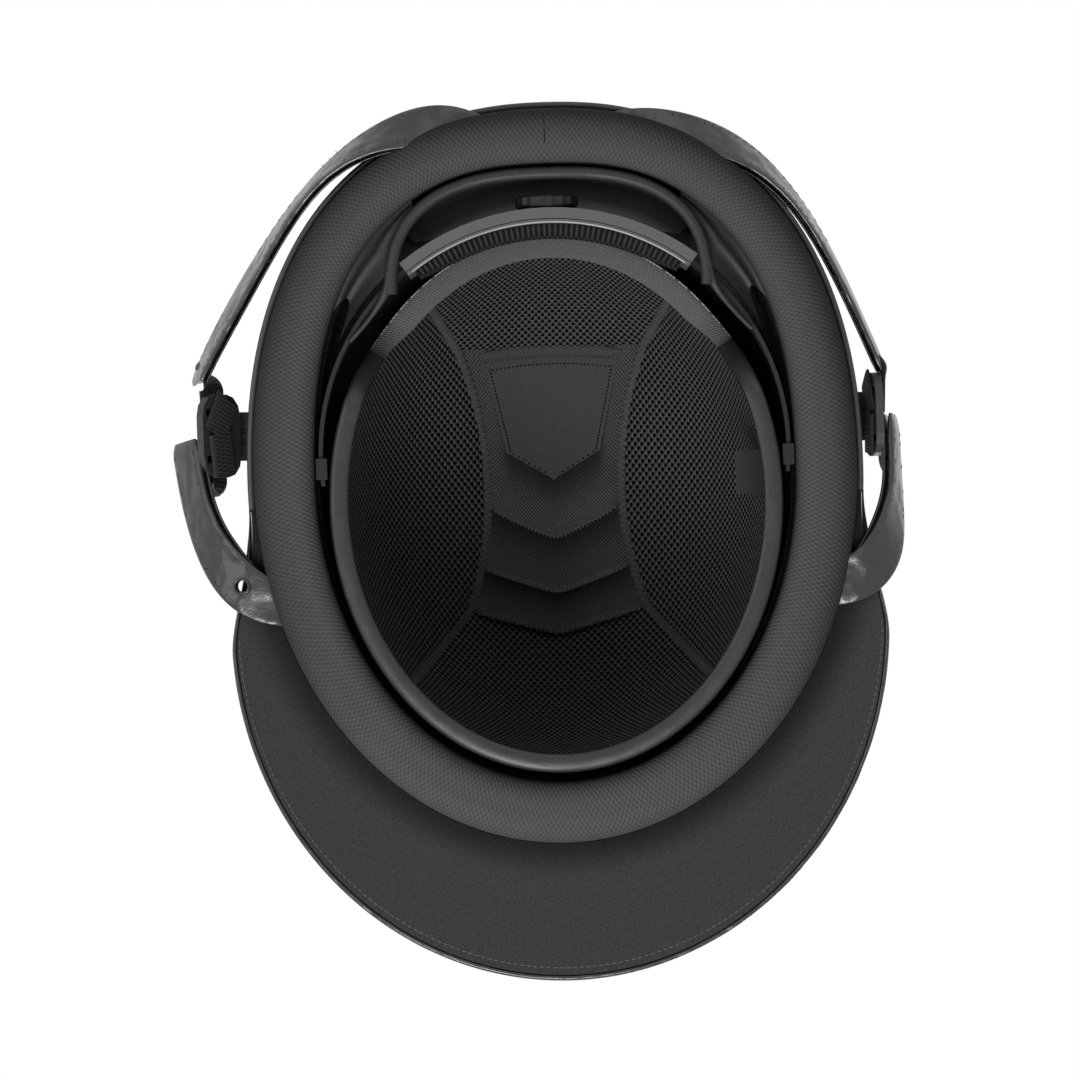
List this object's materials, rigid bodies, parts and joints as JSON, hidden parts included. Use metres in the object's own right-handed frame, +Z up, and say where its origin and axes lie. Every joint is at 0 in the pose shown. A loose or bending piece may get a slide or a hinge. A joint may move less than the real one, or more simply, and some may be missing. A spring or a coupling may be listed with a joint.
{
  "type": "equestrian riding helmet",
  "caption": "Black riding helmet with a wide brim, padded collar, mesh liner, dial fit cradle and a harness folded up over the crown to a side-release buckle.",
  "frame": {"origin": "middle of the head opening, on the ground plane under the rim collar", "axes": "+Z up to the crown, -Y to the front (brim), +X to the wearer's left"},
  "size_m": [0.277, 0.3344, 0.1681],
  "materials": {
    "shell": "fine matte",
    "trim": "satin",
    "brim_cloth": "suede-like, matte",
    "foam": "moulded foam, matte",
    "collar_cloth": "ribbed weave",
    "spacer_mesh": "open spacer mesh",
    "jersey": "smooth knit",
    "leatherette": "semi-gloss",
    "knit": "grey knit",
    "webbing": "woven tape",
    "grey_plastic": "satin",
    "black_plastic": "semi-gloss",
    "steel": "dark nickel"
  },
  "bodies": {
    "helmet": {"outer_shell": "shell", "impact_liner": "foam", "rim_collar": "collar_cloth", "rim_trim": "trim", "brim": "brim_cloth", "brim_binding": "leatherette", "liner_left": "spacer_mesh", "liner_right": "spacer_mesh", "liner_front": "spacer_mesh", "liner_rear": "spacer_mesh", "liner_binding": "leatherette", "liner_tape": "knit", "crown_pad_rear": "jersey", "crown_pad_middle": "jersey", "crown_pad_front": "jersey", "shield_patch": "jersey", "size_tag": "webbing", "liner_grip_1": "webbing", "liner_grip_2": "webbing", "liner_grip_3": "webbing", "liner_grip_4": "webbing", "liner_grip_5": "webbing", "nape_wall": "leatherette", "nape_binding": "leatherette", "band_clip_left": "black_plastic", "band_clip_right": "black_plastic", "strap_front_left": "leatherette", "strap_front_right": "leatherette", "strap_rear_left": "leatherette", "strap_rear_right": "leatherette", "anchor_front_left": "steel", "anchor_front_right": "steel", "anchor_rear_left": "steel", "anchor_rear_right": "steel", "strap_eyelet": "steel", "web_front_left": "webbing", "web_front_right": "webbing", "web_rear_left": "webbing", "web_rear_right": "webbing", "divider_left": "black_plastic", "divider_right": "black_plastic", "chin_strap_left": "webbing", "chin_strap_right": "webbing", "buckle_socket": "black_plastic"},
    "cradle": {"cradle_cover": "grey_plastic", "cradle_plate": "grey_plastic", "cradle_pad": "knit"},
    "dial": {"dial_knob": "black_plastic", "dial_pinion": "black_plastic"},
    "band_left": {"side_band_left": "black_plastic"},
    "band_right": {"side_band_right": "black_plastic"},
    "insert": {"buckle_insert": "black_plastic"},
    "arm_rear": {"buckle_arm_rear": "black_plastic"},
    "arm_front": {"buckle_arm_front": "black_plastic"}
  },
  "joints": [
    {"name": "cradle_slide", "type": "slide", "parent": "helmet", "child": "cradle", "axis": [0, -1, 0], "range_m": [0, 0.008]},
    {"name": "dial_turn", "type": "hinge", "parent": "cradle", "child": "dial", "pos_m": [0, 0.102, 0.015], "axis": [0, -1, 0], "range_deg": [-1, 116]},
    {"name": "band_left_turn", "type": "hinge", "parent": "cradle", "child": "band_left", "pos_m": [0, 0.0094, 0.015], "axis": [0, 0, 1], "range_deg": [-0.5, 5.5]},
    {"name": "band_right_turn", "type": "hinge", "parent": "cradle", "child": "band_right", "pos_m": [0, 0.0094, 0.015], "axis": [0, 0, -1], "range_deg": [-0.5, 5.5]},
    {"name": "buckle_release", "type": "slide", "parent": "helmet", "child": "insert", "axis": [-1, 0, 0], "range_m": [0, 0.022], "deforming": ["chin_strap_right", "buckle_arm_rear", "buckle_arm_front"]},
    {"name": "buckle_arm_rear", "type": "hinge", "parent": "insert", "child": "arm_rear", "pos_m": [-0.004, 0.0268, 0.16413], "axis": [0, 0, -1], "range_deg": [0, 11], "stiffness_Nm_per_rad": 0.000002},
    {"name": "buckle_arm_front", "type": "hinge", "parent": "insert", "child": "arm_front", "pos_m": [-0.004, 0.0122, 0.16413], "axis": [0, 0, 1], "range_deg": [0, 11], "stiffness_Nm_per_rad": 0.000002}
  ],
  "couplings": [
    {"joint": "dial_turn", "follows": "cradle_slide", "rad_per_m": 250},
    {"joint": "band_left_turn", "follows": "cradle_slide", "rad_per_m": 11.236},
    {"joint": "band_right_turn", "follows": "cradle_slide", "rad_per_m": 11.236},
    {"joint": "buckle_arm_front", "follows": "buckle_arm_rear", "ratio": 1}
  ]
}
